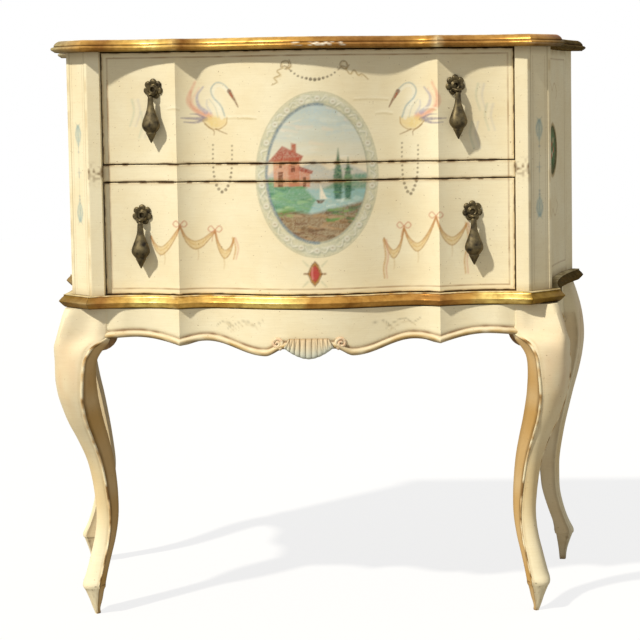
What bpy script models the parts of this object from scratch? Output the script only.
"""A painted two-drawer lowboy on cabriole legs.

The case has a serpentine front: a bowed middle, a sharp ridge on each side of it and a
scooped outer bay that ends at a canted corner post.  The sides splay, so the back is wider
than the front.  Units are metres, +Z is up, the front faces -Y, and the origin is on the
floor under the middle of the top.
"""

import math

import bmesh
import bpy
import numpy as np
from mathutils import Matrix, Vector

# Heights, from the floor up
LEG_HEIGHT = 0.4435
BASE_THICKNESS = 0.018
LOWER_OPENING_HEIGHT = 0.160
DIVIDER_HEIGHT = 0.0235
UPPER_OPENING_HEIGHT = 0.1585
TOP_THICKNESS = 0.0165

# Plan of the case
OVERALL_DEPTH = 0.392
TOP_OVERHANG = 0.020
TOP_BACK_OVERHANG = 0.005
FACE_WIDTH = 0.614            # between the front ridges of the canted posts
POST_FACE = 0.017             # post's width beside the drawers, out to its front ridge
CORNER_CANT = 0.0345          # run of the canted corner, the same along X and along Y
SIDE_SPLAY = 0.0515           # how much further out each side is at the back
SIDE_HOLLOW = 0.016           # how far each side is scooped in between its post and the back
BOW_DEPTH = 0.040             # middle of the bow, in front of the drawers' ends
RIDGE_SPACING = 0.3652        # between the two ridges of the serpentine
RIDGE_DEPTH = 0.018           # ridges, in front of the drawers' ends
POST_RETURN = 0.013           # post ridge, in front of the drawers' ends
BAY_HOLLOW = 0.008            # pull of the drawers' bays behind the drawers' ends
CASE_BAY_HOLLOW = 0.013       # the same for the top, base and apron, whose bays run on to the posts
BAY_SEGMENTS = 7              # straight steps in each scooped bay
BOW_SEGMENTS = 9              # straight steps in each half of the bow
SIDE_SEGMENTS = 8             # straight steps in each side

# Case joinery
FIT = 0.0003                  # gap between pieces that are glued or rest on each other
POST_SIDE = 0.030             # post's run along the side
BEAD_WIDTH = 0.006
BEAD_HEIGHT = 0.0016
FIELD_RECESS = 0.0008
SIDE_THICKNESS = 0.016
STILE_WIDTH = 0.036
STILE_DEPTH = 0.030
BACK_THICKNESS = 0.008
RUNNER_WIDTH = 0.030          # under the drawer's side
RUNNER_THICKNESS = 0.014
LOWER_RUNNER_THICKNESS = 0.003
GUIDE_HEIGHT = 0.012
GUIDE_THICKNESS = 0.012
CLEAT_THICKNESS = 0.011
STOP_WIDTH = 0.040
STOP_DEPTH = 0.012
STOP_HEIGHT = 0.005

# Mouldings and stand
WAIST_PROJECTION = 0.018
APRON_THICKNESS = 0.018
APRON_SETBACK = 0.002
APRON_SWELL = 0.0075           # how far the front apron swells forward between the knees
APRON_BEAD = 0.0025
APRON_BEAD_HEIGHT = 0.006
APRON_SHELL_DROP = 0.0575     # depth of the front apron below the base board: behind the shell,
APRON_NOTCH_DROP = 0.0555     # beside the shell,
APRON_LOBE_DROP = 0.0660      # at the lobes,
APRON_ARCH_DROP = 0.0460      # in the arches of the bow,
APRON_RIDGE_DROP = 0.0520     # at the ridges,
APRON_BAY_DROP = 0.0405       # in the arches of the bays,
APRON_KNEE_DROP = 0.0450      # and against the front legs
APRON_REAR_DROP = 0.0640      # depth of a side apron against the back leg
BACK_APRON_DROP = 0.045
KNEE_WIDTH = 0.074            # widest section of a front leg
BLOCK_SIZE = 0.028
BLOCK_HEIGHT = 0.036
FRONT_BLOCK_HEIGHT = 0.062    # the blocks behind the front legs hang below the apron's edge
FRONT_BLOCK_ROUND = 0.022     # rise of their rounded lower end
SHELL_WIDTH = 0.070
SHELL_TOP = 0.036             # below the base board
SHELL_BOTTOM = 0.0705         # below the base board
SHELL_THICKNESS = 0.009
SHELL_RIBS = 9

# Drawers
DRAWER_GAP = 0.0015           # round each drawer front
FRONT_MINIMUM = 0.022         # drawer front at its ends
BOX_CLEARANCE = 0.004         # between the drawer box and the post, each side
BOX_REAR_ROOM = 0.0257        # between the drawer box and the back panel
BOX_SIDE = 0.010
BOX_BACK = 0.010
BOX_BOTTOM = 0.005
BOX_GROOVE = 0.005            # depth of the groove that holds the bottom
BOTTOM_LIFT = 0.008           # bottom panel, above the lower edge of the sides
BOX_HEADROOM = 0.020          # between the box and the top of its opening

# Pulls
UPPER_PULL_X = (-0.2147, 0.2066)
LOWER_PULL_X = (-0.235, 0.229)
UPPER_PULL_HEIGHT = 0.106     # above the bottom of the drawer opening
LOWER_PULL_HEIGHT = 0.1135
ROSETTE_RADIUS = 0.0138
ROSETTE_THICKNESS = 0.0032
ROSETTE_PETALS = 7
ROSETTE_SEAT = 0.0012         # off the hollow of the drawer front
BOLT_RADIUS = 0.0019
BOLT_TAIL = 0.008             # beyond the inside of the drawer front
BOLT_HOLE = 0.0024
NUT_RADIUS = 0.0062
NUT_THICKNESS = 0.0035
KNUCKLE_WIDTH = 0.0070
KNUCKLE_SLOT = 0.0034
KNUCKLE_RADIUS = 0.0030
PIVOT_FORWARD = 0.0116        # hinge pin, in front of the drawer front
PIVOT_DROP = 0.0060           # hinge pin, below the bolt
PIN_RADIUS = 0.0010
DROP_LENGTH = 0.0693          # from the hinge pin to the tip
DROP_RADIUS = 0.0132
DROP_FLATNESS = 0.74          # the drop's depth as a share of its width
TAB_THICKNESS = 0.0026

# Derived places
Z_BASE = LEG_HEIGHT + BASE_THICKNESS
Z_LOWER_TOP = Z_BASE + LOWER_OPENING_HEIGHT
Z_UPPER = Z_LOWER_TOP + DIVIDER_HEIGHT
Z_CASE_TOP = Z_UPPER + UPPER_OPENING_HEIGHT
Z_TOP = Z_CASE_TOP + TOP_THICKNESS
Y_BACK = OVERALL_DEPTH / 2 - TOP_BACK_OVERHANG
Y_FACE = -OVERALL_DEPTH / 2 + TOP_OVERHANG + BOW_DEPTH
FACE_HALF = FACE_WIDTH / 2
OPENING_WIDTH = FACE_WIDTH - 2 * POST_FACE
OPENING_HALF = OPENING_WIDTH / 2
RIDGE_X = RIDGE_SPACING / 2
POST_RIDGE = Vector((FACE_HALF, Y_FACE - POST_RETURN))
POST_CORNER = POST_RIDGE + Vector((CORNER_CANT, CORNER_CANT))
SIDE_END = Vector((POST_CORNER.x + SIDE_SPLAY, Y_BACK))
SIDE_DIRECTION = (SIDE_END - POST_CORNER).normalized()
SIDE_NORMAL = Vector((SIDE_DIRECTION.y, -SIDE_DIRECTION.x))
BOX_HALF = OPENING_HALF - BOX_CLEARANCE
Y_INNER = Y_FACE + FRONT_MINIMUM
BOX_DEPTH = Y_BACK - BACK_THICKNESS - BOX_REAR_ROOM - Y_INNER - FIT
LEG_REFERENCE = (POST_RIDGE + POST_CORNER) / 2
OUTWARD = Vector((1, -1)).normalized()
ALONG = Vector((1, 1)).normalized()

# Leg stations: share of the leg's height, then how far the outer face stands out from the
# corner above it, the section's depth behind that face, and its width; a front leg also has
# the crown of its outer face.  They are drawn to a knee seventy-four units wide, whose upper
# part sweeps back on both sides to meet the aprons.
LEG_UNIT = KNEE_WIDTH / 74
FRONT_LEG = (
    (1.000, 23, 45, 74, 42), (0.980, 28.2, 50.2, 74, 47.2), (0.955, 32.6, 54.6, 74, 51.6),
    (0.930, 37.5, 59.5, 74, 56.5), (0.908, 40.9, 62.4, 74, 59.4), (0.890, 43, 63, 74, 44.2),
    (0.876, 42.8, 57.8, 73.6, 32.2), (0.855, 42.8, 50.8, 72.8, 24.8), (0.832, 42, 44.5, 72, 19.4),
    (0.800, 42.2, 44, 70, 18), (0.767, 41.7, 44.7, 67, 16.8), (0.735, 39.6, 45.5, 62.5, 15.4),
    (0.702, 36, 45.8, 57, 14), (0.637, 25, 44, 48.2, 12), (0.572, 9.7, 39.2, 40, 10.4),
    (0.507, -3.6, 34.3, 35.5, 9.5), (0.442, -11.4, 31.2, 33.5, 9.2), (0.377, -15.7, 29, 33.3, 9.8),
    (0.311, -17.4, 26.5, 33.5, 10.4), (0.246, -13.1, 25, 34, 11), (0.180, -4.4, 23.5, 36, 11),
    (0.131, 2.8, 23.5, 37.5, 11), (0.105, 8.4, 26, 38, 12), (0.092, 8.6, 26, 36, 12.5),
    (0.080, 5, 21, 31, 9), (0.050, -0.8, 15, 21, 5.5), (0.020, -5.5, 8.5, 12, 2.6),
    (0.000, -8.5, 7, 8.5, 2),
)
BACK_LEG = (
    (1.000, 0, 46, 40), (0.947, 8, 46, 42), (0.891, 14, 46, 42), (0.823, 17, 44, 42),
    (0.767, 15, 42, 40), (0.690, 8, 40, 38), (0.616, -1, 38, 36), (0.543, -9, 36, 34),
    (0.474, -16, 34, 31), (0.379, -23, 32, 28), (0.316, -24, 30, 26), (0.253, -23, 28, 25),
    (0.192, -17, 26, 24), (0.147, -10, 26, 25), (0.113, -2.5, 30, 27), (0.099, -2, 30, 27),
    (0.086, -7, 20, 20), (0.041, -12, 14, 13), (0.000, -14.5, 10, 9),
)
KNEE_SHARE = 0.88             # the aprons meet the legs above this share of their height
KNEE_LOW = 0.832              # a front leg's face grows rounder from here up to the aprons
BACK_CROWN = 0.24             # rounding of a back leg's outer face, as a share of its depth
FLANK_HOLLOW = 0.20           # how much narrower a leg is behind, below the aprons, as a share of its width


# Scene and materials

for old in list(bpy.data.objects):
    bpy.data.objects.remove(old)


def new_collection(name):
    collection = bpy.data.collections.new(name)
    bpy.context.scene.collection.children.link(collection)
    return collection


LOWBOY = new_collection("lowboy")
CUTTERS = new_collection("cutters")


def new_material(name, colour, roughness, metallic=0.0):
    material = bpy.data.materials.new(name)
    material.use_nodes = True
    shader = material.node_tree.nodes["Principled BSDF"]
    shader.inputs["Base Color"].default_value = (*colour, 1.0)
    shader.inputs["Roughness"].default_value = roughness
    shader.inputs["Metallic"].default_value = metallic
    return material


CREAM = new_material("cream_paint", (0.85, 0.78, 0.58), 0.5)
GILT = new_material("worn_gilding", (0.66, 0.45, 0.14), 0.4, 0.6)
RAW_WOOD = new_material("raw_wood", (0.52, 0.36, 0.20), 0.7)
BRASS = new_material("aged_brass", (0.20, 0.16, 0.10), 0.4, 0.9)


# Modelling helpers

def add_object(name, data, material, collection=LOWBOY):
    obj = bpy.data.objects.new(name, data)
    collection.objects.link(obj)
    data.materials.append(material)
    return obj


def loft(name, rings, material, closed=False):
    """A solid skinned over rings of equally many points; a closed loft joins its last ring to its first."""
    mesh = bmesh.new()
    rows = [[mesh.verts.new(point) for point in ring] for ring in rings]
    count = len(rows[0])
    pairs = list(zip(rows, rows[1:]))
    if closed:
        pairs.append((rows[-1], rows[0]))
    else:
        mesh.faces.new(rows[0][::-1])
        mesh.faces.new(rows[-1])
    for low, high in pairs:
        for i in range(count):
            j = (i + 1) % count
            mesh.faces.new((low[i], low[j], high[j], high[i]))
    bmesh.ops.recalc_face_normals(mesh, faces=mesh.faces)
    data = bpy.data.meshes.new(name)
    mesh.to_mesh(data)
    mesh.free()
    return add_object(name, data, material)


def plate(name, outline, low, high, material):
    """A flat outline in plan, given a thickness along Z."""
    curve = bpy.data.curves.new(name, "CURVE")
    curve.dimensions = "2D"
    curve.fill_mode = "BOTH"
    curve.extrude = (high - low) / 2
    spline = curve.splines.new("POLY")
    spline.points.add(len(outline) - 1)
    for point, place in zip(spline.points, outline):
        point.co = (place[0], place[1], 0, 1)
    spline.use_cyclic_u = True
    obj = add_object(name, curve, material)
    obj.location.z = (low + high) / 2
    return obj


def board(name, low, high, material):
    """A box between two corners."""
    size = Vector(high) - Vector(low)
    mesh = bmesh.new()
    bmesh.ops.create_cube(mesh, size=1.0)
    bmesh.ops.scale(mesh, vec=size, verts=mesh.verts)
    data = bpy.data.meshes.new(name)
    mesh.to_mesh(data)
    mesh.free()
    obj = add_object(name, data, material)
    obj.location = (Vector(low) + Vector(high)) / 2
    return obj


def rod(name, radius, length, sides, material, collection=LOWBOY):
    """A cylinder along Y, centred on its origin."""
    mesh = bmesh.new()
    bmesh.ops.create_cone(mesh, cap_ends=True, segments=sides, radius1=radius, radius2=radius, depth=length)
    bmesh.ops.rotate(mesh, verts=mesh.verts, matrix=Matrix.Rotation(math.pi / 2, 3, "X"))
    data = bpy.data.meshes.new(name)
    mesh.to_mesh(data)
    mesh.free()
    return add_object(name, data, material, collection)


def turned(name, profile, steps, material):
    """A shape turned about Z from points (radius, height) that run down its outer side."""
    data = bpy.data.meshes.new(name)
    data.from_pydata([(radius, 0, height) for radius, height in profile],
                     [(i, i + 1) for i in range(len(profile) - 1)], [])
    obj = add_object(name, data, material)
    screw = obj.modifiers.new("turn", "SCREW")
    screw.steps = steps
    screw.render_steps = steps
    screw.use_merge_vertices = True
    screw.merge_threshold = 0.00005
    return obj


def as_mesh(obj):
    """The same object as a plain mesh, so that a Boolean can read it."""
    bpy.context.view_layer.update()
    evaluated = obj.evaluated_get(bpy.context.evaluated_depsgraph_get())
    data = bpy.data.meshes.new_from_object(evaluated)
    weld = bmesh.new()
    weld.from_mesh(data)
    bmesh.ops.remove_doubles(weld, verts=weld.verts, dist=0.00002)
    bmesh.ops.recalc_face_normals(weld, faces=weld.faces)
    weld.to_mesh(data)
    weld.free()
    name, place, material = obj.name, obj.matrix_world.copy(), obj.active_material
    bpy.data.objects.remove(obj)
    data.materials.clear()
    made = add_object(name, data, material)
    made.matrix_world = place
    return made


def as_helper(obj):
    """Takes an object out of the model and keeps it as a cutter or a piece to join."""
    for collection in obj.users_collection:
        collection.objects.unlink(obj)
    CUTTERS.objects.link(obj)
    obj.hide_render = True
    obj.display_type = "WIRE"
    return obj


def combine(obj, helper, operation):
    boolean = obj.modifiers.new(helper.name, "BOOLEAN")
    boolean.operation = operation
    boolean.object = as_helper(helper)


def mirrored(points):
    return [(-point[0], *point[1:]) for point in points]


# The serpentine front

def bezier(points, segments):
    """Points along a Bezier curve of any degree, both ends included."""
    degree = len(points) - 1
    found = []
    for step in range(segments + 1):
        t = step / segments
        weights = [math.comb(degree, k) * t ** k * (1 - t) ** (degree - k) for k in range(degree + 1)]
        found.append(sum((w * Vector(p) for w, p in zip(weights, points)), Vector((0, 0))))
    return found


def front_line(bay_end, bay_pull):
    """The face in plan, left to right.

    Each bay runs from its end point to the ridge, drawn back by bay_pull.
    """
    ridge = Vector((RIDGE_X, Y_FACE - RIDGE_DEPTH))
    apex = Vector((0, Y_FACE - BOW_DEPTH))
    waist = Vector((RIDGE_X * 0.71, Y_FACE + RIDGE_DEPTH * 0.75))
    shoulder = Vector((RIDGE_X * 0.47, apex.y))
    bow = bezier([apex, shoulder, waist, ridge], BOW_SEGMENTS)
    middle = (ridge + bay_end) / 2
    bay = bezier([ridge, Vector((middle.x * 0.97, Y_FACE + bay_pull)), bay_end], BAY_SEGMENTS)
    right = bow + bay[1:]
    return [Vector((-p.x, p.y)) for p in reversed(right[1:])] + right


DRAWER_LINE = front_line(Vector((OPENING_HALF - DRAWER_GAP, Y_FACE)), BAY_HOLLOW)
CASE_FRONT = front_line(POST_RIDGE, CASE_BAY_HOLLOW)


def front_y(x, line=DRAWER_LINE):
    return float(np.interp(x, [p.x for p in line], [p.y for p in line]))


def front_turn(x):
    """Angle in plan of the drawer face at x, from facing straight forward."""
    step = 0.004
    return math.atan2(front_y(x + step) - front_y(x - step), 2 * step)


SIDE_CONTROL = (POST_CORNER + SIDE_END) / 2 - SIDE_NORMAL * SIDE_HOLLOW * 2
SIDE_LINE = bezier([POST_CORNER, SIDE_CONTROL, SIDE_END], SIDE_SEGMENTS)
CASE_LINE = ([Vector((-p.x, p.y)) for p in reversed(SIDE_LINE)] + CASE_FRONT + SIDE_LINE)


def side_line_x(y):
    """Where the outside of the case is at depth y, behind the post's corner."""
    return float(np.interp(y, [p.y for p in SIDE_LINE], [p.x for p in SIDE_LINE]))


POST_END_Y = POST_CORNER.y + POST_SIDE * SIDE_DIRECTION.y
POST_END = Vector((side_line_x(POST_END_Y), POST_END_Y))


def outward_normals(line):
    """Mitre vectors of an open line whose outside is on its right-hand side when followed left to right."""
    steps = [(b - a).normalized() for a, b in zip(line, line[1:])]
    sides = [Vector((s.y, -s.x)) for s in steps]
    found = [sides[0]]
    for a, b in zip(sides, sides[1:]):
        half = (a + b).normalized()
        found.append(half / half.dot(a))
    return found + [sides[-1]]


CASE_NORMALS = outward_normals(CASE_LINE)


def case_outline(offset, back):
    """The case's plan, grown by offset at the front and sides and cut off straight at the back."""
    moved = [p + n * offset for p, n in zip(CASE_LINE, CASE_NORMALS)]
    for end, following in ((0, 1), (-1, -2)):
        run = moved[end] - moved[following]
        moved[end] = moved[end] + run * ((back - moved[end].y) / run.y)
    return moved


# Top, base board and waist moulding

def top_board():
    """Two beads with a quirk between them: (share of the overhang, share of the thickness from the top)."""
    edge = ((0.80, 0.0), (0.94, 0.07), (1.0, 0.20), (0.97, 0.36), (0.86, 0.46), (0.87, 0.53), (0.95, 0.62),
            (0.95, 0.74), (0.86, 0.89), (0.72, 1.0))
    rings = []
    for reach, depth in edge:
        line = case_outline(TOP_OVERHANG * reach, Y_BACK + TOP_BACK_OVERHANG)
        rings.append([(p.x, p.y, Z_TOP - TOP_THICKNESS * depth) for p in line])
    loft("top_board", rings, GILT)


def base_board():
    plate("base_board", case_outline(0, Y_BACK), LEG_HEIGHT, Z_BASE, CREAM)


def waist_moulding(name, first, last):
    """A nosing with a blunt arris along part of the case's outline, mitred where it meets its neighbour."""
    nose = ((FIT, 0.0), (0.45, 0.0), (0.60, 0.07), (0.82, 0.26), (1.0, 0.48), (0.84, 0.72), (0.66, 0.87),
            (0.62, 1.0), (FIT, 1.0))
    rings = []
    for i in range(first, last + 1):
        place, normal = CASE_LINE[i], CASE_NORMALS[i]
        neighbour = CASE_LINE[i + 1] if i == first else CASE_LINE[i - 1]
        inward = (neighbour - place).normalized() * FIT if i in (first, last) else Vector((0, 0))
        ring = []
        for out, up in nose:
            reach = out if out == FIT else out * WAIST_PROJECTION
            point = place + inward + normal * reach
            ring.append((point.x, point.y, LEG_HEIGHT + BASE_THICKNESS * up))
        rings.append(ring)
    loft(name, rings, GILT)


def waist_mouldings():
    last = len(CASE_LINE) - 1
    ridge = SIDE_SEGMENTS + 1
    waist_moulding("waist_moulding_left", 0, ridge)
    waist_moulding("waist_moulding_front", ridge, last - ridge)
    waist_moulding("waist_moulding_right", last - ridge, last)


# Carcase

def canted_profile():
    """The post's canted face: distance along it from the front ridge, and height above it."""
    length = (POST_CORNER - POST_RIDGE).length
    bead = [(0.0, 0.0), (0.25, 0.75), (0.5, 1.0), (0.75, 0.75), (1.0, 0.0)]
    rise = [(s * BEAD_WIDTH, h * BEAD_HEIGHT) for s, h in bead]
    field = BEAD_WIDTH * 1.1
    half = rise + [(field, -FIELD_RECESS)]
    return half + [(length - s, h) for s, h in reversed(half)]


def front_post(name, side):
    across = (POST_CORNER - POST_RIDGE).normalized()
    out = Vector((across.y, -across.x))
    outline = [Vector((OPENING_HALF, Y_FACE))]
    outline += [POST_RIDGE + across * s + out * h for s, h in canted_profile()]
    outline += [POST_END, Vector((OPENING_HALF, POST_END.y))]
    plate(name, [(side * p.x, p.y) for p in outline], Z_BASE + FIT, Z_CASE_TOP - FIT, CREAM)


def side_panel(name, side):
    front, back = POST_END.y + FIT, Y_BACK - STILE_DEPTH - FIT
    depths = [front, *[p.y for p in SIDE_LINE if front + FIT < p.y < back - FIT], back]
    inward = SIDE_THICKNESS / SIDE_NORMAL.x
    outline = [(side_line_x(y), y) for y in depths] + [(side_line_x(y) - inward, y) for y in reversed(depths)]
    plate(name, [(side * x, y) for x, y in outline], Z_BASE + FIT, Z_CASE_TOP - FIT, CREAM)


def back_stile(name, side):
    front = Y_BACK - STILE_DEPTH
    inner = SIDE_END.x - STILE_WIDTH
    outline = [(side_line_x(front), front), (SIDE_END.x, Y_BACK), (inner, Y_BACK), (inner, front)]
    plate(name, [(side * x, y) for x, y in outline], Z_BASE + FIT, Z_CASE_TOP - FIT, CREAM)


def back_panel():
    half = SIDE_END.x - STILE_WIDTH - FIT
    board("back_panel", (-half, Y_BACK - BACK_THICKNESS, Z_BASE + FIT), (half, Y_BACK, Z_CASE_TOP - FIT),
          RAW_WOOD)


def drawer_divider():
    """The rail between the drawers, flush with their faces and as deep as the posts."""
    half = OPENING_HALF - FIT
    line = [p for p in DRAWER_LINE if abs(p.x) < half]
    outline = [(-half, front_y(-half)), *[(p.x, p.y) for p in line], (half, front_y(half))]
    outline += [(half, POST_END.y), (-half, POST_END.y)]
    plate("drawer_divider", outline, Z_LOWER_TOP, Z_UPPER, CREAM)


def runner(name, side, surface, thickness):
    """A drawer runner with a guide along its outer edge, from the post to the back panel."""
    inner = BOX_HALF - RUNNER_WIDTH
    guide = BOX_HALF + BOX_CLEARANCE / 4
    outer = guide + GUIDE_THICKNESS
    section = [(inner, surface - thickness), (outer, surface - thickness), (outer, surface + GUIDE_HEIGHT),
               (guide, surface + GUIDE_HEIGHT), (guide, surface), (inner, surface)]
    ends = (POST_END.y + FIT, Y_BACK - BACK_THICKNESS - FIT)
    loft(name, [[(side * x, y, z) for x, z in section] for y in ends], RAW_WOOD)


def top_cleat(name, side):
    """A batten under the top, which also keeps the upper drawer from tipping."""
    high = Z_CASE_TOP - FIT
    low = high - CLEAT_THICKNESS
    near, far = BOX_HALF - RUNNER_WIDTH, BOX_HALF + GUIDE_THICKNESS
    board(name, (min(side * near, side * far), POST_END.y + FIT, low),
          (max(side * near, side * far), Y_BACK - BACK_THICKNESS - FIT, high), RAW_WOOD)


def drawer_stop(name, surface):
    """A block that the drawer front closes against."""
    front = Y_INNER + FIT
    board(name, (-STOP_WIDTH / 2, front, surface + FIT),
          (STOP_WIDTH / 2, front + STOP_DEPTH, surface + FIT + STOP_HEIGHT), RAW_WOOD)


# Stand

def leg_ring(share, outward, depth, width, crown, place):
    """One level section of a leg: crowned outer face, flanks hollowed below the aprons.

    place maps (out, along) to plan.
    """
    half = width / 2
    hollow = 0 if share >= KNEE_SHARE else FLANK_HOLLOW
    round_off = min(max((share - KNEE_LOW) / (KNEE_SHARE - KNEE_LOW), 0), 1)
    power = 1 - 0.5 * round_off
    outer = [(outward - crown * (1 - (1 - s * s) ** power), half * s)
             for s in (-1, -0.94, -0.8, -0.6, -0.3, 0, 0.3, 0.6, 0.8, 0.94, 1)]
    middle = outward - crown - 0.41 * (depth - crown)
    flank = [(middle, half * (1 - hollow * 0.7)), (outward - depth, half * (1 - hollow))]
    ring = outer + flank + [(out, -along) for out, along in reversed(flank)]
    height = share * LEG_HEIGHT if share < 1 else LEG_HEIGHT - FIT
    points = [place(out * LEG_UNIT, along * LEG_UNIT) for out, along in ring]
    return [(p.x, p.y, height) for p in points]


def front_leg(name, side):
    def place(out, along):
        point = LEG_REFERENCE + OUTWARD * out + ALONG * along
        return Vector((side * point.x, point.y))
    loft(name, [leg_ring(*station, place) for station in FRONT_LEG], CREAM)


BACK_LEG_WIDTH = max(width for share, out, depth, width in BACK_LEG) * LEG_UNIT
BACK_LEG_Y = Y_BACK - BACK_LEG_WIDTH / 2


def back_leg(name, side):
    def place(out, along):
        return Vector((side * (SIDE_END.x + out), BACK_LEG_Y + along))
    loft(name, [leg_ring(*station, station[2] * BACK_CROWN, place) for station in BACK_LEG], CREAM)


KNEE_HALF = max(station[3] for station in FRONT_LEG if station[0] >= KNEE_SHARE) * LEG_UNIT / 2 + FIT


def scallop(x, keys):
    """Depth of an apron below the base board.

    A key is (place, depth, pointed); curves are level at keys that aren't pointed.
    """
    for (x0, d0, pointed0), (x1, d1, pointed1) in zip(keys, keys[1:]):
        if x <= x1:
            break
    s = min(max((x - x0) / (x1 - x0), 0.0), 1.0)
    if pointed0:
        return d0 + (d1 - d0) * math.sin(s * math.pi / 2)
    if pointed1:
        return d0 + (d1 - d0) * (1 - math.cos(s * math.pi / 2))
    return d0 + (d1 - d0) * (1 - math.cos(s * math.pi)) / 2


def apron_ring(front, back, out, depth):
    """One section of an apron: plain board with a bead along its lower front edge."""
    top = LEG_HEIGHT - FIT
    low = LEG_HEIGHT - depth
    bead = front + out * APRON_BEAD
    return [(front.x, front.y, top), (front.x, front.y, low + APRON_BEAD_HEIGHT),
            (bead.x, bead.y, low + APRON_BEAD_HEIGHT * 0.6), (bead.x, bead.y, low), (back.x, back.y, low),
            (back.x, back.y, top)]


BAY_WIDTH = FACE_HALF - RIDGE_X
FRONT_SCALLOP = ((0.0, APRON_SHELL_DROP, False), (SHELL_WIDTH / 2, APRON_NOTCH_DROP, False),
                 (RIDGE_X * 0.34, APRON_LOBE_DROP, False), (RIDGE_X * 0.80, APRON_ARCH_DROP, False),
                 (RIDGE_X, APRON_RIDGE_DROP, True), (RIDGE_X + BAY_WIDTH * 0.53, APRON_BAY_DROP, False),
                 (RIDGE_X + BAY_WIDTH * 0.94, APRON_KNEE_DROP, True))


def apron_swell(x):
    """The front apron's swell at x: whole between the bays, dying out before the knees."""
    run = (abs(x) - RIDGE_X - BAY_WIDTH * 0.45) / (BAY_WIDTH * 0.45)
    return APRON_SWELL * (1 + math.cos(math.pi * min(max(run, 0), 1))) / 2


def front_apron():
    """Follows the case's front, swelling a little before it, cut at 45 degrees against the legs."""
    limit = LEG_REFERENCE.x + LEG_REFERENCE.y - KNEE_HALF * math.sqrt(2)
    face = [p + Vector((0, APRON_SETBACK - apron_swell(p.x))) for p in CASE_FRONT]
    inside = [p for p in face if abs(p.x) + p.y < limit and abs(p.x) + p.y + APRON_THICKNESS < limit]
    stations = sorted({round(x, 5) for p in inside for x in (p.x, p.x / 2)} | {s * k for s in (-1, 1)
                      for k in np.linspace(0.02, inside[-1].x, 22).round(5)})
    end = next(x for x in np.arange(inside[-1].x, 1, 0.0002)
               if x + front_y(x, face) > limit)
    back_end = next(x for x in np.arange(0.1, 1, 0.0002)
                    if x + front_y(x, face) + APRON_THICKNESS > limit)
    stations = [-end, *[x for x in stations if abs(x) < end - 0.003], end]
    rings = []
    for x in stations:
        front = Vector((x, front_y(x, face)))
        back = Vector((x * back_end / end, front.y + APRON_THICKNESS))
        rings.append(apron_ring(front, back, Vector((0, -1)), scallop(abs(x), FRONT_SCALLOP)))
    loft("front_apron", rings, CREAM)


def side_apron(name, side):
    """Follows the scooped side, from the front leg's flank to the back leg."""
    limit = LEG_REFERENCE.x + LEG_REFERENCE.y + KNEE_HALF * math.sqrt(2)
    back_y = BACK_LEG_Y - BACK_LEG_WIDTH / 2 - FIT

    def line_x(inset, y):
        return side_line_x(y) - inset / SIDE_NORMAL.x
    insets = (APRON_SETBACK, APRON_SETBACK + APRON_THICKNESS)
    starts = [next(y for y in np.arange(POST_CORNER.y, back_y, 0.0002) if y + line_x(inset, y) > limit)
              for inset in insets]
    length = back_y - starts[0]
    keys = ((0.0, APRON_KNEE_DROP, True), (length * 0.24, APRON_BAY_DROP, False),
            (length * 0.5, APRON_LOBE_DROP * 0.94, False), (length * 0.76, APRON_BAY_DROP, False),
            (length, APRON_REAR_DROP, True))
    rings = []
    for share in np.linspace(0, 1, 21):
        depths = [start + (back_y - start) * float(share) for start in starts]
        front, back = (Vector((line_x(inset, y), y)) for inset, y in zip(insets, depths))
        ring = apron_ring(front, back, SIDE_NORMAL, scallop(share * length, keys))
        rings.append([(side * x, y, z) for x, y, z in ring])
    loft(name, rings, CREAM)


def back_apron():
    reach = max(depth - out for share, out, depth, width in BACK_LEG if share >= KNEE_SHARE)
    half = SIDE_END.x - reach * LEG_UNIT - FIT
    board("back_apron", (-half, Y_BACK - APRON_THICKNESS, LEG_HEIGHT - BACK_APRON_DROP),
          (half, Y_BACK, LEG_HEIGHT - FIT), RAW_WOOD)


def front_block(name, side):
    """A glue block behind a front leg, under the base board, rounded off below."""
    depth = max(station[2] - station[1] for station in FRONT_LEG if station[0] >= KNEE_SHARE) * LEG_UNIT + FIT
    top = LEG_HEIGHT - FIT
    low = top - FRONT_BLOCK_HEIGHT
    turns = np.linspace(0, math.pi / 2, 7)
    profile = [(0, top)]
    profile += [(BLOCK_SIZE * math.sin(a), low + FRONT_BLOCK_ROUND * (1 - math.cos(a))) for a in turns]
    profile.append((BLOCK_SIZE, top))
    rings = []
    for along in (-BLOCK_SIZE / 2, BLOCK_SIZE / 2):
        places = [LEG_REFERENCE - OUTWARD * (depth + reach) + ALONG * along for reach, height in profile]
        rings.append([(side * p.x, p.y, height) for p, (reach, height) in zip(places, profile)])
    loft(name, rings, RAW_WOOD)


def back_block(name, side):
    """A glue block in the corner between a back leg and the back apron."""
    depth = max(depth - out for share, out, depth, width in BACK_LEG if share >= KNEE_SHARE) * LEG_UNIT + FIT
    far = SIDE_END.x - depth
    near = far - BLOCK_SIZE
    back = Y_BACK - APRON_THICKNESS - FIT
    top = LEG_HEIGHT - FIT
    board(name, (min(side * near, side * far), back - BLOCK_SIZE, top - BLOCK_HEIGHT),
          (max(side * near, side * far), back, top), RAW_WOOD)


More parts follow.
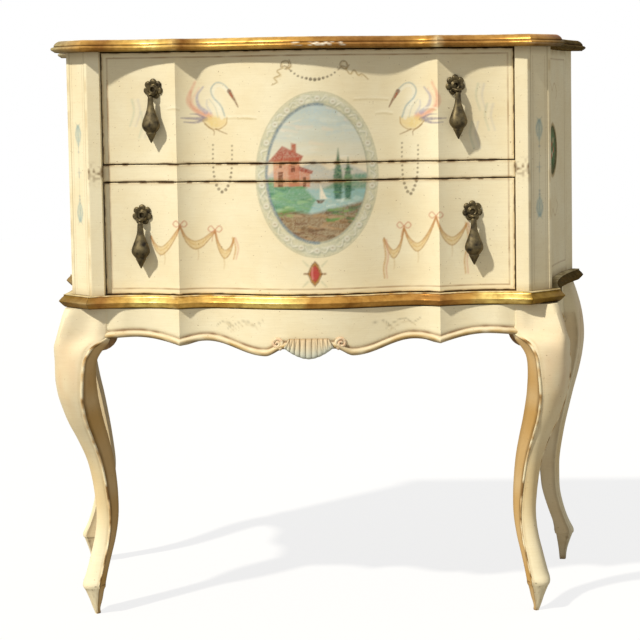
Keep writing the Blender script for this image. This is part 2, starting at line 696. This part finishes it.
def apron_shell():
    """A ribbed fan applied to the middle of the front apron, thickest between the grooves of its ribs."""
    seat = front_y(0, CASE_FRONT) + APRON_SETBACK - APRON_SWELL - APRON_BEAD - FIT
    hub = LEG_HEIGHT - SHELL_TOP
    drop = SHELL_BOTTOM - SHELL_TOP
    half_angle = math.radians(78)
    per_rib = 4
    rings = []
    for i in range(SHELL_RIBS * per_rib + 1):
        share = i / (SHELL_RIBS * per_rib)
        angle = half_angle * (2 * share - 1)
        wave = abs(math.sin(share * SHELL_RIBS * math.pi))
        reach_x = SHELL_WIDTH / 2 * math.sin(angle) * (0.94 + 0.06 * wave)
        reach_z = hub - drop * (1 - (1 - math.cos(angle)) * 0.92) * (0.95 + 0.05 * wave)
        ring = []
        for out, depth in ((0.15, 0.45), (0.60, 0.80), (0.92, 0.62), (1.0, 0.12)):
            thickness = SHELL_THICKNESS * depth * (0.72 + 0.28 * wave)
            ring.append((reach_x * out, seat - thickness, hub + (reach_z - hub) * out))
        ring.append((reach_x, seat, reach_z))
        ring.append((reach_x * 0.15, seat, hub + (reach_z - hub) * 0.15))
        rings.append(ring)
    loft("apron_shell", rings, CREAM)


# Drawers

def drawer(prefix, low, high, pull_x, pull_height):
    """One drawer: shaped front, grooved sides, back and bottom, with its two pulls.

    low and high bound its opening.
    """
    front_low, front_high = low + DRAWER_GAP, high - DRAWER_GAP
    box_low = low + LOWER_RUNNER_THICKNESS + FIT if prefix == "lower" else low + FIT
    box_high = high - BOX_HEADROOM
    y_box = Y_INNER + FIT
    y_end = y_box + BOX_DEPTH
    inner = BOX_HALF - BOX_SIDE

    half = OPENING_HALF - DRAWER_GAP
    outline = [(p.x, p.y) for p in DRAWER_LINE] + [(half, Y_INNER), (-half, Y_INNER)]
    front = as_mesh(plate(prefix + "_drawer_front", outline, front_low, front_high, CREAM))

    panel_low = box_low + BOTTOM_LIFT
    panel_high = panel_low + BOX_BOTTOM
    groove = inner + BOX_GROOVE
    section = [(BOX_HALF, box_low), (BOX_HALF, box_high), (inner, box_high), (inner, panel_high + FIT),
               (groove, panel_high + FIT), (groove, panel_low - FIT), (inner, panel_low - FIT),
               (inner, box_low)]
    for side, word in ((-1, "left"), (1, "right")):
        rings = [[(side * x, y, z) for x, z in section] for y in (y_box, y_end)]
        loft(f"{prefix}_drawer_side_{word}", rings, RAW_WOOD)
    board(prefix + "_drawer_back", (-inner + FIT, y_end - BOX_BACK, panel_high + FIT),
          (inner - FIT, y_end, box_high), RAW_WOOD)
    board(prefix + "_drawer_bottom", (-groove + FIT, y_box, panel_low), (groove - FIT, y_end, panel_high),
          RAW_WOOD)

    for x, word in zip(pull_x, ("left", "right")):
        pull(f"{prefix}_{word}", front, x, low + pull_height)


def pull(name, front, x, z):
    """A drop pull: rosette, bolt with its hinge knuckle, nut inside the drawer, and the hanging drop."""
    turn = front_turn(x)
    seat = Matrix.Translation((x, front_y(x), z)) @ Matrix.Rotation(turn, 4, "Z")
    tail = (Y_INNER - front_y(x)) / math.cos(turn) + BOLT_TAIL

    hole = rod(name + "_pull_hole", BOLT_HOLE, 4 * tail, 12, BRASS)
    hole.matrix_world = seat
    combine(front, hole, "DIFFERENCE")

    rosette(name + "_pull_rosette").matrix_world = seat
    pull_bolt(name + "_pull_bolt", tail).matrix_world = seat
    clear = tail - BOLT_TAIL + NUT_RADIUS * abs(math.tan(turn)) + FIT
    nut(name + "_pull_nut", clear).matrix_world = seat
    hinge = seat @ Matrix.Translation((0, -PIVOT_FORWARD, -PIVOT_DROP))
    pull_drop(name + "_pull_drop").matrix_world = hinge
    axis = -(hinge.to_3x3() @ Vector((1, 0, 0)))
    print("hinge", name, [round(c, 5) for c in hinge.translation], [round(c, 5) for c in axis])


def rosette(name):
    """A flower of rounded petals, domed towards the bolt hole in its middle."""
    per_petal = 8
    count = ROSETTE_PETALS * per_petal
    rings = []
    levels = ((1.0, 0.0), (1.0, 0.35), (0.90, 0.80), (0.66, 0.62), (0.50, 1.0), (None, 1.0), (None, 0.0))
    for share, depth in levels:
        ring = []
        for i in range(count):
            angle = 2 * math.pi * (i + 0.5) / count
            petal = 0.80 + 0.20 * abs(math.cos(ROSETTE_PETALS * angle / 2))
            radius = BOLT_HOLE if share is None else ROSETTE_RADIUS * (1 + (petal - 1) * share) * share
            lift = -ROSETTE_SEAT - ROSETTE_THICKNESS * depth
            ring.append((radius * math.sin(angle), lift, radius * math.cos(angle)))
        rings.append(ring)
    return loft(name, rings, BRASS, closed=True)


def pull_bolt(name, tail):
    """Shaft through the drawer front, with a slotted knuckle at its nose that holds the hinge pin."""
    nose = ROSETTE_SEAT + ROSETTE_THICKNESS + FIT
    tip = [(-PIVOT_FORWARD - KNUCKLE_RADIUS * math.cos(a), -PIVOT_DROP - KNUCKLE_RADIUS * math.sin(a))
           for a in np.linspace(-0.3, math.pi, 10)]
    outline = [(-nose, KNUCKLE_RADIUS), (-PIVOT_FORWARD + KNUCKLE_RADIUS / 3, KNUCKLE_RADIUS), *tip,
               (-nose, -PIVOT_DROP + KNUCKLE_RADIUS / 3)]
    ends = (-KNUCKLE_WIDTH / 2, KNUCKLE_WIDTH / 2)
    bolt = loft(name, [[(x, y, z) for y, z in outline] for x in ends], BRASS)
    slot = board(name + "_slot", (-KNUCKLE_SLOT / 2, -PIVOT_FORWARD - 2 * KNUCKLE_RADIUS,
                                  -PIVOT_DROP - 2 * KNUCKLE_RADIUS),
                 (KNUCKLE_SLOT / 2, -PIVOT_FORWARD + KNUCKLE_RADIUS, -PIVOT_DROP + KNUCKLE_RADIUS), BRASS)
    combine(bolt, slot, "DIFFERENCE")
    pin = rod(name + "_pin", PIN_RADIUS, (KNUCKLE_WIDTH + KNUCKLE_SLOT) / 2, 10, BRASS)
    pin.data.transform(Matrix.Rotation(math.pi / 2, 4, "Z"))
    pin.location = (0, -PIVOT_FORWARD, -PIVOT_DROP)
    combine(bolt, pin, "UNION")
    reach = tail + nose + FIT * 3
    shaft = rod(name + "_shaft", BOLT_RADIUS, reach, 12, BRASS)
    shaft.location.y = tail - reach / 2
    combine(bolt, shaft, "UNION")
    for helper in (slot, pin, shaft):
        helper.parent = bolt
    return bolt


def nut(name, depth):
    """A six-sided nut on the bolt, against the inside of the drawer front."""
    hole_radius = BOLT_RADIUS + FIT / 2
    rings = []
    for radius, far in ((NUT_RADIUS, 0), (NUT_RADIUS, 1), (hole_radius, 1), (hole_radius, 0)):
        ring = []
        for i in range(24):
            angle = 2 * math.pi * i / 24
            flat = math.cos(math.pi / 6) / math.cos((angle % (math.pi / 3)) - math.pi / 6)
            reach = radius * flat if radius == NUT_RADIUS else radius
            ring.append((reach * math.cos(angle), depth + far * NUT_THICKNESS, reach * math.sin(angle)))
        rings.append(ring)
    return loft(name, rings, BRASS, closed=True)


def pull_drop(name):
    """A turned teardrop on a flat eye; its origin is on the hinge pin."""
    profile = ((0.0, -0.06), (0.14, -0.065), (0.18, -0.10), (0.30, -0.15), (0.33, -0.22), (0.40, -0.30),
               (0.58, -0.40), (0.79, -0.50), (0.96, -0.59), (1.0, -0.645), (0.95, -0.69), (0.78, -0.74),
               (0.62, -0.775), (0.56, -0.79), (0.54, -0.81), (0.33, -0.89), (0.08, -0.985), (0.0, -1.0))
    drop = turned(name, [(r * DROP_RADIUS, h * DROP_LENGTH) for r, h in profile], 16, BRASS)
    drop = as_mesh(drop)
    drop.data.transform(Matrix.Diagonal((1, DROP_FLATNESS, 1, 1)))
    eye_radius = KNUCKLE_RADIUS - 2 * FIT
    eye = rod(name + "_eye", eye_radius, TAB_THICKNESS, 16, BRASS)
    eye.data.transform(Matrix.Rotation(math.pi / 2, 4, "Z"))
    combine(drop, eye, "UNION")
    neck = board(name + "_neck", (-TAB_THICKNESS * 0.4, -eye_radius * 0.6, -0.11 * DROP_LENGTH),
                 (TAB_THICKNESS * 0.4, eye_radius * 0.6, -PIN_RADIUS - 2 * FIT), BRASS)
    combine(drop, neck, "UNION")
    hole = rod(name + "_pin_hole", PIN_RADIUS + FIT, 4 * TAB_THICKNESS, 16, BRASS)
    hole.data.transform(Matrix.Rotation(math.pi / 2, 4, "Z"))
    combine(drop, hole, "DIFFERENCE")
    for helper in (eye, neck, hole):
        helper.parent = drop
    return drop


# Assembly

def main():
    top_board()
    base_board()
    waist_mouldings()
    back_panel()
    drawer_divider()
    front_apron()
    back_apron()
    apron_shell()
    for side, word in ((-1, "left"), (1, "right")):
        front_post("front_post_" + word, side)
        side_panel("side_panel_" + word, side)
        back_stile("back_stile_" + word, side)
        runner("upper_runner_" + word, side, Z_UPPER, RUNNER_THICKNESS)
        runner("lower_runner_" + word, side, Z_BASE + FIT + LOWER_RUNNER_THICKNESS, LOWER_RUNNER_THICKNESS)
        top_cleat("top_cleat_" + word, side)
        front_leg("front_leg_" + word, side)
        back_leg("back_leg_" + word, side)
        side_apron("side_apron_" + word, side)
        front_block("front_block_" + word, side)
        back_block("back_block_" + word, side)
    drawer_stop("lower_drawer_stop", Z_BASE)
    drawer_stop("upper_drawer_stop", Z_UPPER)
    drawer("lower", Z_BASE, Z_LOWER_TOP, LOWER_PULL_X, LOWER_PULL_HEIGHT)
    drawer("upper", Z_UPPER, Z_CASE_TOP, UPPER_PULL_X, UPPER_PULL_HEIGHT)
    for obj in LOWBOY.objects:
        if obj.type == "MESH" and "pull" in obj.name:
            obj.data.shade_smooth()


main()
